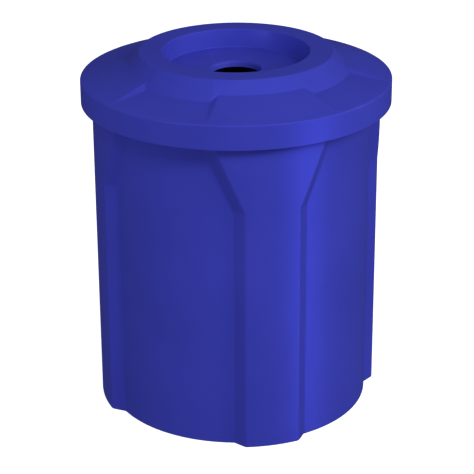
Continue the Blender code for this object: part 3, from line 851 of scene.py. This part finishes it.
washer_corners = [
    (ANCHOR_HOLE, 0),
    (WASHER, 0),
    (WASHER, WASHER_THICK),
    (ANCHOR_HOLE, WASHER_THICK),
]
washer_grid = turned_grid(rounded_path(washer_corners, 0.0003, 4, closed=True), 72)
washer_grid = washer_grid - (0, 0, WASHER_THICK / 2)
for prefix in ("barrel", "lid"):
    out = anchor_frame(prefix)
    inner = facing(middle_of(f"{prefix}_anchor_washer_inner"), out.col[2].xyz)
    for where, matrix in (("outer", out), ("inner", inner)):
        node = f"{prefix}_anchor_washer_{where}"
        points = placed(washer_grid, matrix)
        washer = grid_mesh(f"{prefix}_washer_{where}", points, rows_close=True)
        finish_piece(washer, prefix, "stainless_steel", stainless, node)
    seat = out @ Matrix.Translation((0, 0, WASHER_THICK / 2 + GAP))
    node = f"{prefix}_anchor_bolt"
    points = placed(bolt_grid(BOLT_REACH), seat)
    bolt = grid_mesh(f"{prefix}_button_bolt", points, smooth_angle=35)
    finish_piece(bolt, prefix, "stainless_steel", stainless, node)

# %% [markdown]
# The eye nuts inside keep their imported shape, which is right as it is. Only their finish
# changes, by filling their material slot.

# %% Finish the eye nuts
for prefix in ("barrel", "lid"):
    eye_nut = frame["nodes"][f"{prefix}_anchor_eye_nut"]
    eye_nut.data.materials.clear()
    eye_nut.data.materials.append(stainless)
    print(eye_nut.name, "keeps its packed shape")

# %% [markdown]
# ## Stage, light and camera
# The floor is a wide pale disc. A plane with a plain white material would darken under the
# barrel, so it carries a little light of its own, and it lights nothing else.

# %% Floor
FLOOR_RADIUS, FLOOR_TOP, FLOOR_UNDER = 30.0, -0.0004, -0.02
FLOOR_GLOW = 0.85
WHITE = (1, 1, 1, 1)


def floor_disc(rings, columns):
    """A flat disc as a grid: x = r cos(a), y = r sin(a), just under the foot."""
    r = np.linspace(0.05, FLOOR_RADIUS, rings)
    grid = turned_grid(np.stack([r, np.full(rings, FLOOR_TOP)], axis=1), columns)
    lower = turned_grid(np.stack([r[::-1], np.full(rings, FLOOR_UNDER)], axis=1), columns)
    return np.concatenate([grid, lower])


floor = grid_mesh("floor", floor_disc(8, 64))
pale, floor_shader = fresh_material("pale_floor")[:2]
floor_shader.inputs["Base Color"].default_value = (0.80, 0.80, 0.80, 1)
floor_shader.inputs["Roughness"].default_value = 0.9
floor_shader.inputs["Emission Color"].default_value = WHITE
floor_shader.inputs["Emission Strength"].default_value = FLOOR_GLOW
floor.data.materials.append(pale)
floor.visible_diffuse = False
floor.visible_glossy = False
floor.visible_shadow = False

# %% [markdown]
# Satin plastic shows its shape by broad, soft highlights. One big lamp would leave the left
# steps flat, so five discs stand round the piece: a key at the right, one above the camera,
# two lower at the right, and one at the left. An upright wall seen from above mirrors what
# lies low in front of it, so the bright band down the panels needs a sixth lamp under floor
# level. It is blue, and only mirrored rays see it, so it adds nothing else.

# %% Lamps
VIEW_AZIMUTH = -14.05
LAMP_DISTANCE = 5.0
LAMP_TARGET = Vector((0, 0, 0.38))
SHEEN_BLUE = (0.30, 0.36, 1.0)


def direction(azimuth, elevation):
    """A unit vector that points away from the piece, from two angles in degrees."""
    rise = math.radians(elevation)
    return around(math.cos(rise), azimuth, math.sin(rise))


def soft_light(name, azimuth, elevation, size, power, height=None):
    """A lamp that faces the middle of the piece: a disc, or a rectangle if it has a height."""
    away = direction(azimuth, elevation)
    data = bpy.data.lights.new(name, "AREA")
    data.shape = "RECTANGLE" if height else "DISK"
    data.size = size
    data.size_y = height or size
    data.energy = power
    lamp = bpy.data.objects.new(name, data)
    bpy.context.scene.collection.objects.link(lamp)
    lamp.matrix_world = facing(LAMP_TARGET + LAMP_DISTANCE * away, away)
    lamp.visible_camera = False
    print(f"{name}: {power} W, {elevation} degrees up")
    return lamp


# Each disc's name, degrees to the right of the camera, degrees up, metres across, and watts.
DISCS = [
    ("key", 38, 36, 1.4, 74),
    ("top", -5, 48, 1.6, 38),
    ("side", 64, 24, 1.0, 48),
    ("rim", 95, 20, 1.6, 30),
    ("fill", -44, 11, 1.6, 50),
]
for name, right_of_view, elevation, size, power in DISCS:
    soft_light(name, VIEW_AZIMUTH + right_of_view, elevation, size, power)
sheen = soft_light("sheen", VIEW_AZIMUTH + 58, -20, 2.2, 95, height=2.4)
sheen.data.color = SHEEN_BLUE
sheen.visible_diffuse = False

# %% [markdown]
# The room round the piece fills the shadows. A plain white room would do that, but it would
# also be mirrored in the sides where they are seen at a shallow angle, and turn them grey. So
# each kind of ray sees its own room: the camera a white one, mirrored rays a dark blue one,
# and all others a dim grey one.

# %% Room
ROOM_FILL, ROOM_MIRRORED, ROOM_SEEN = 0.28, 0.12, 1.0
MIRRORED_BLUE = (0.35, 0.40, 1.0, 1)

world = bpy.data.worlds.new("studio")
world.use_nodes = True
room_nodes, room_links = world.node_tree.nodes, world.node_tree.links
ray = room_nodes.new("ShaderNodeLightPath")


def room(background, colour, strength):
    """Set a background's colour and strength, and return its shader."""
    background.inputs["Color"].default_value = colour
    background.inputs["Strength"].default_value = strength
    return background.outputs["Background"]


def by_ray(kind, others, these):
    """One shader for a kind of ray, and another for all others."""
    chosen = room_nodes.new("ShaderNodeMixShader")
    room_links.new(ray.outputs[kind], chosen.inputs["Fac"])
    room_links.new(others, chosen.inputs[1])
    room_links.new(these, chosen.inputs[2])
    return chosen.outputs["Shader"]


fill = room(room_nodes["Background"], WHITE, ROOM_FILL)
mirrored = room(room_nodes.new("ShaderNodeBackground"), MIRRORED_BLUE, ROOM_MIRRORED)
seen = room(room_nodes.new("ShaderNodeBackground"), WHITE, ROOM_SEEN)
every_ray = by_ray("Is Camera Ray", by_ray("Is Glossy Ray", fill, mirrored), seen)
room_links.new(every_ray, room_nodes["World Output"].inputs["Surface"])
bpy.context.scene.world = world
bpy.context.scene.view_settings.view_transform = "Standard"
print("room:", len(room_nodes), "nodes")

# %% [markdown]
# The camera stands well back with a long lens, which keeps the barrel's sides nearly parallel.
# Its place is given by an azimuth, an elevation and a distance from a point on the axis,
# because each of those changes one thing in the view.

# %% Camera
VIEW_ELEVATION = 23.0
VIEW_DISTANCE = 3.8035
VIEW_TARGET = Vector((0, 0, 0.3453))
VIEW_ROLL = -0.32
LENS, SENSOR = 135.4, 36.0

camera_data = bpy.data.cameras.new("camera")
camera_data.lens = LENS
camera_data.sensor_width = SENSOR
camera_data.clip_end = 200
camera = bpy.data.objects.new("camera", camera_data)
bpy.context.scene.collection.objects.link(camera)
away = direction(VIEW_AZIMUTH, VIEW_ELEVATION)
look = (-away).to_track_quat("-Z", "Y").to_matrix().to_4x4()
roll = Matrix.Rotation(math.radians(VIEW_ROLL), 4, "Z")
camera.matrix_world = Matrix.Translation(VIEW_TARGET + VIEW_DISTANCE * away) @ look @ roll
bpy.context.scene.camera = camera
print("camera at", [round(v, 3) for v in camera.matrix_world.translation])
